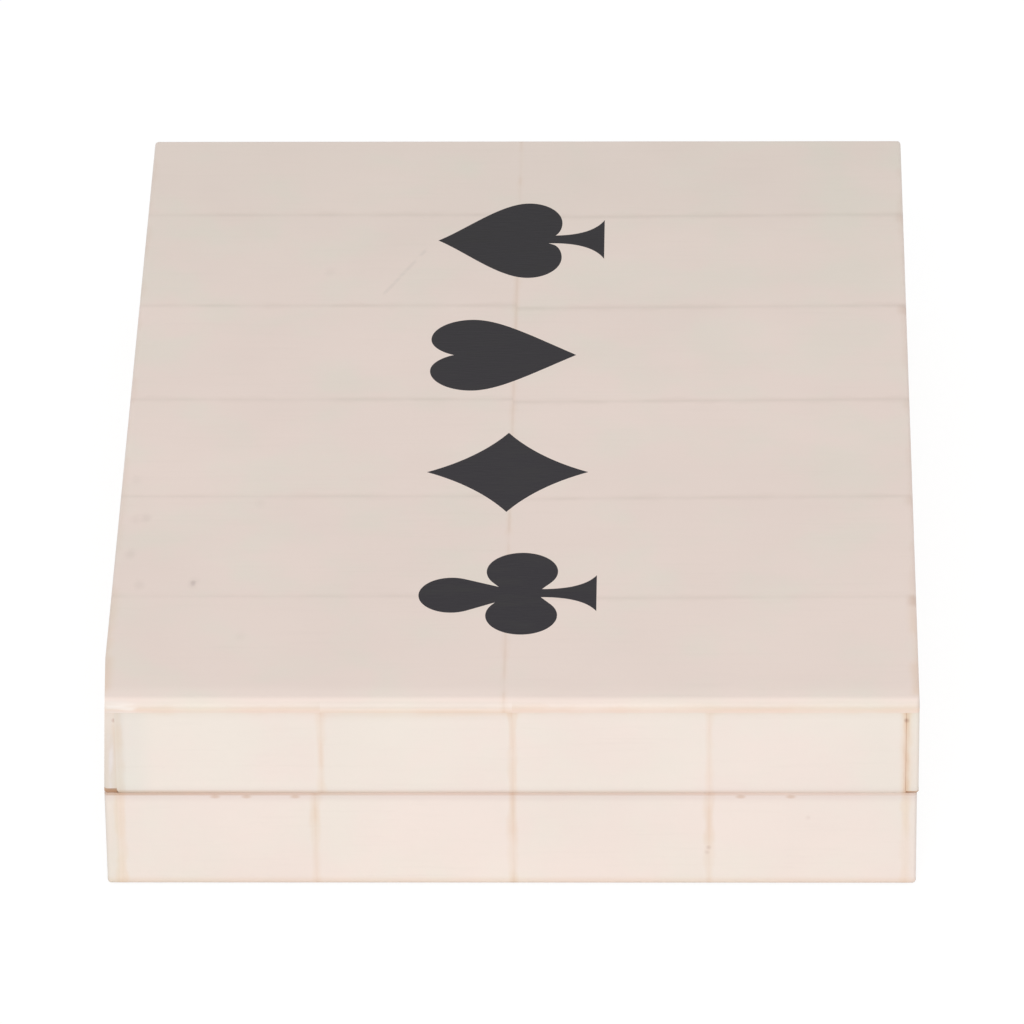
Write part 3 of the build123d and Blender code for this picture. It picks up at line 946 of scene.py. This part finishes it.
def felt_finish(name, plain, fuzz):
    """Felt: matted fibres that lie every way, with loose pale ones on top."""
    material, place = start_finish(name, FELT_SHADER)
    matted = place.noise(FELT_MATTED)
    loose = place.noise(FELT_LOOSE).most(place.noise(FELT_CROSSED))
    body = matted.rise(*FELT_MATTED.fade).mix(rgba(plain), rgba(fuzz))
    body = (loose.rise(*FELT_LOOSE.fade) * FELT_LOOSE_SHARE).mix(body, rgba(fuzz))
    roughness = matted * FELT_ROUGHNESS_SPREAD + FELT_ROUGHNESS
    return end_finish(material, body, roughness, matted + loose * FELT_LOOSE_SHARE, FELT_BUMP)


def cut_lines(low, high, cell, soft_edge):
    """Mesh lines from low to high: close together at both cut edges, evenly spaced between."""
    close = soft_edge * FELT_EDGE_LINE_SHARE
    near = [low, low + close, low + soft_edge]
    far = [high - soft_edge, high - close, high]
    steps = max(1, round((far[0] - near[-1]) / cell))
    inner = [near[-1] + (far[0] - near[-1]) * step / steps for step in range(1, steps)]
    return near + inner + far


def felt_drop(x, y, face, low, high, look):
    """How far the felt's face lies in from its box: at its cut edges, and in the waves between them."""
    to_edge = min(x - low.x, high.x - x, y - low.y, high.y - y)
    rounding = max(0.0, 1 - to_edge / look.soft_edge) ** 2 * (high.z - low.z) * FELT_EDGE_DROP_SHARE
    wave = noise.noise(Vector((x, y, face)) * FELT_WAVES_PER_METRE) * 0.5 + 0.5
    return rounding + wave * look.wave


def skin_grid(made, grid):
    """Faces between the neighbours of a grid of points."""
    for row, next_row in zip(grid, grid[1:]):
        for column in range(len(row) - 1):
            made.faces.new((row[column], row[column + 1], next_row[column + 1], next_row[column]))


def close_grid(made, grid, back):
    """Cut edges down from the rim of a grid, and the flat glued side at the height of its back."""
    rim = grid[0][:-1] + [row[-1] for row in grid[:-1]] + grid[-1][:0:-1] + [row[0] for row in grid[:0:-1]]
    under = [made.verts.new((corner.co.x, corner.co.y, back)) for corner in rim]
    for here in range(len(rim)):
        after = (here + 1) % len(rim)
        made.faces.new((rim[here], under[here], under[after], rim[after]))
    made.faces.new(under)


def felt_mesh(name, node, nap_up, look):
    """A felt sheet in the place of its node: a waved face, rounded cut edges and a flat glued side."""
    low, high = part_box(node)
    xs = cut_lines(low.x, high.x, look.cell, look.soft_edge)
    ys = cut_lines(low.y, high.y, look.cell, look.soft_edge)
    face, back, inward = (high.z, low.z, -1) if nap_up else (low.z, high.z, 1)
    made = bmesh.new()
    grid = [
        [made.verts.new((x, y, face + inward * felt_drop(x, y, face, low, high, look))) for x in xs]
        for y in ys
    ]
    skin_grid(made, grid)
    close_grid(made, grid, back)
    bmesh.ops.recalc_face_normals(made, faces=made.faces)
    mesh = bpy.data.meshes.new(name)
    made.to_mesh(mesh)
    made.free()
    return mesh


def lay_felt(node, body, material, nap_up):
    """Makes the felt that stands for a node and glues it to its panel."""
    mesh = felt_mesh(node + "_sheet", node, nap_up, bpy.context.scene.card_box_felt)
    for polygon in mesh.polygons:
        polygon.use_smooth = True
    mesh.materials.append(material)
    sheet = bpy.data.objects.new(node + "_sheet", mesh)
    bpy.context.scene.collection.objects.link(sheet)
    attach(sheet, body)
    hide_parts(node)


class CARDBOX_OT_top_tiles(bpy.types.Operator):
    """Finish the twelve bone tiles of the top"""

    bl_idname = "cardbox.top_tiles"
    bl_label = "Top Tiles"

    def execute(self, context):
        dress(top_names(), top_finish(context.scene.card_box_bone))
        return {"FINISHED"}


class CARDBOX_OT_side_tiles(bpy.types.Operator):
    """Finish the bone tiles round the lid and the base"""

    bl_idname = "cardbox.side_tiles"
    bl_label = "Side Tiles"

    def execute(self, context):
        for face in side_faces():
            dress([face.name], side_finish(face, context.scene.card_box_bone))
        return {"FINISHED"}


class CARDBOX_OT_suits(bpy.types.Operator):
    """Finish the four suit inlays"""

    bl_idname = "cardbox.suits"
    bl_label = "Suit Inlays"

    def execute(self, context):
        dress([f"inlay_{suit}" for suit in SUITS], inlay_finish(context.scene.card_box_inlay))
        return {"FINISHED"}


class CARDBOX_OT_boards(bpy.types.Operator):
    """Finish the walls and panels behind the tiles"""

    bl_idname = "cardbox.boards"
    bl_label = "Boards"

    def execute(self, context):
        walls = [f"{half}_wall_{side}" for half in ("lid", "base") for side in SIDES]
        dress(walls + ["lid_panel", "base_panel"], board_finish(context.scene.card_box_wood))
        return {"FINISHED"}


class CARDBOX_OT_inner_wood(bpy.types.Operator):
    """Finish the lip that the lid drops over, and the dividers of the wells"""

    bl_idname = "cardbox.inner_wood"
    bl_label = "Lip and Dividers"

    def execute(self, context):
        look = context.scene.card_box_wood
        crosswise = ["lip_front", "lip_back", "divider_front", "divider_back"]
        dress(crosswise, wood_finish("lip_wood_across", True, look.lip_light, look.lip_dark))
        dress(["lip_left", "lip_right"], wood_finish("lip_wood_along", False, look.lip_light, look.lip_dark))
        return {"FINISHED"}


class CARDBOX_OT_well_felts(bpy.types.Operator):
    """Lay the felt floors of the card wells and the dice well"""

    bl_idname = "cardbox.well_felts"
    bl_label = "Well Felts"

    def execute(self, context):
        look = context.scene.card_box_felt
        material = felt_finish("well_felt", look.well, look.well_fuzz)
        for node in ("card_felt_front", "card_felt_back", "dice_felt"):
            lay_felt(node, "base", material, True)
        return {"FINISHED"}


class CARDBOX_OT_lid_lining(bpy.types.Operator):
    """Glue the felt lining into the lid"""

    bl_idname = "cardbox.lid_lining"
    bl_label = "Lid Lining"

    def execute(self, context):
        look = context.scene.card_box_felt
        material = felt_finish("lid_felt", look.well, look.well_fuzz)
        lay_felt("lid_lining", "lid", material, False)
        return {"FINISHED"}


class CARDBOX_OT_base_felt(bpy.types.Operator):
    """Glue the felt under the base"""

    bl_idname = "cardbox.base_felt"
    bl_label = "Base Felt"

    def execute(self, context):
        look = context.scene.card_box_felt
        material = felt_finish("base_felt", look.base, look.base_fuzz)
        lay_felt("base_felt", "base", material, False)
        return {"FINISHED"}


def direction(azimuth, elevation):
    """Unit vector to a place at this turn to the right of the front, and this height."""
    flat = math.cos(elevation)
    return Vector((math.sin(azimuth) * flat, -math.cos(azimuth) * flat, math.sin(elevation)))


def add_camera(look):
    """The camera at the photograph's angle."""
    back = direction(look.yaw, look.elevation)
    right = Vector((math.cos(look.yaw), math.sin(look.yaw), 0.0))
    turn = Matrix((right, back.cross(right), back)).transposed() @ Matrix.Rotation(look.roll, 3, "Z")
    data = bpy.data.cameras.new("photo_camera")
    data.lens = look.lens
    data.clip_end = CAMERA_REACH
    camera = bpy.data.objects.new("photo_camera", data)
    camera.matrix_world = Matrix.Translation(AIM + back * look.distance) @ turn.to_4x4()
    bpy.context.scene.collection.objects.link(camera)
    bpy.context.scene.camera = camera


def add_key(look):
    """One large soft lamp from the camera's side."""
    data = bpy.data.lights.new("key_lamp", "AREA")
    data.energy = look.key_power
    data.size = look.key_size
    toward = direction(KEY_AZIMUTH, KEY_ELEVATION)
    lamp = bpy.data.objects.new("key_lamp", data)
    lamp.location = AIM + toward * KEY_DISTANCE
    lamp.rotation_euler = (-toward).to_track_quat("-Z", "Y").to_euler()
    bpy.context.scene.collection.objects.link(lamp)


def seen_directly(first):
    """1 for rays that show the background itself: to the camera, in gloss or through glass."""
    outputs = first.node("ShaderNodeLightPath").socket.node.outputs
    camera, glossy, through = (
        Wire(first.tree, outputs[f"Is {ray} Ray"]) for ray in ("Camera", "Glossy", "Transmission")
    )
    return camera.most(glossy).most(through)


def add_sky(look):
    """Even grey light all round, which looks white itself."""
    world = bpy.data.worlds.new("studio")
    world.use_nodes = True
    background = world.node_tree.nodes["Background"]
    shown = seen_directly(Wire(world.node_tree, background.outputs[0]))
    sky = shown.mix(rgba((look.sky,) * 3), rgba(WHITE))
    world.node_tree.links.new(sky.socket, background.inputs["Color"])
    bpy.context.scene.world = world


def floor_finish():
    """White that glows to the eye and keeps the box's soft shadow."""
    material = bpy.data.materials.new("floor_white")
    material.use_nodes = True
    tree = material.node_tree
    tree.nodes.remove(tree.nodes["Principled BSDF"])
    first = Wire(tree, tree.nodes["Material Output"].inputs["Surface"])
    shown = seen_directly(first)
    white = first.node("ShaderNodeBsdfDiffuse", sockets={"Color": rgba(FLOOR_WHITE)})
    shaded = first.node("ShaderNodeBsdfDiffuse", sockets={"Color": rgba(FLOOR_SHADED)})
    glow = first.node("ShaderNodeEmission", sockets={"Strength": FLOOR_GLOW})
    bright = first.node("ShaderNodeAddShader", sockets={0: shaded, 1: glow})
    surface = first.node("ShaderNodeMixShader", sockets={0: shown, 1: white, 2: bright})
    tree.links.new(surface.socket, first.socket)
    return material


def add_floor(look):
    """A white floor under the box."""
    half = look.floor_size / 2
    corners = [(-half, -half), (half, -half), (half, half), (-half, half)]
    mesh = bpy.data.meshes.new("floor")
    mesh.from_pydata([(x, y, FLOOR_LEVEL) for x, y in corners], [], [(0, 1, 2, 3)])
    mesh.materials.append(floor_finish())
    floor = bpy.data.objects.new("floor", mesh)
    bpy.context.scene.collection.objects.link(floor)


class CARDBOX_OT_stage(bpy.types.Operator):
    """Set up the camera, the lamp, the sky and the floor"""

    bl_idname = "cardbox.stage"
    bl_label = "Stage"

    def execute(self, context):
        look = context.scene.card_box_stage
        add_camera(look)
        add_key(look)
        add_sky(look)
        add_floor(look)
        context.scene.view_settings.view_transform = "Standard"
        return {"FINISHED"}


STEPS = (
    CARDBOX_OT_top_tiles,
    CARDBOX_OT_side_tiles,
    CARDBOX_OT_suits,
    CARDBOX_OT_boards,
    CARDBOX_OT_inner_wood,
    CARDBOX_OT_well_felts,
    CARDBOX_OT_lid_lining,
    CARDBOX_OT_base_felt,
    CARDBOX_OT_stage,
)


class CARDBOX_PT_panel(bpy.types.Panel):
    """Lists the steps and settings of the card box"""

    bl_idname = "CARDBOX_PT_panel"
    bl_label = "Card Box"
    bl_space_type = "VIEW_3D"
    bl_region_type = "UI"
    bl_category = "Card Box"

    def draw(self, context):
        for step in STEPS:
            self.layout.operator(step.bl_idname)
        for name, look in LOOKS.items():
            box = self.layout.box()
            box.label(text=look.__doc__)
            for setting in look.__annotations__:
                box.prop(getattr(context.scene, name), setting)


def register():
    """Adds the settings, the operators and the panel to Blender."""
    for name, look in LOOKS.items():
        bpy.utils.register_class(look)
        setattr(bpy.types.Scene, name, bpy.props.PointerProperty(type=look))
    for kind in (*STEPS, CARDBOX_PT_panel):
        bpy.utils.register_class(kind)


def unregister():
    """Takes the panel, the operators and the settings out again."""
    for kind in (CARDBOX_PT_panel, *reversed(STEPS)):
        bpy.utils.unregister_class(kind)
    for name, look in reversed(LOOKS.items()):
        delattr(bpy.types.Scene, name)
        bpy.utils.unregister_class(look)


def main():
    """Dresses the box and sets the stage."""
    register()
    bpy.ops.cardbox.top_tiles()
    bpy.ops.cardbox.side_tiles()
    bpy.ops.cardbox.suits()
    bpy.ops.cardbox.boards()
    bpy.ops.cardbox.inner_wood()
    bpy.ops.cardbox.well_felts()
    bpy.ops.cardbox.lid_lining()
    bpy.ops.cardbox.base_felt()
    bpy.ops.cardbox.stage()


if __name__ == "__main__":
    main()
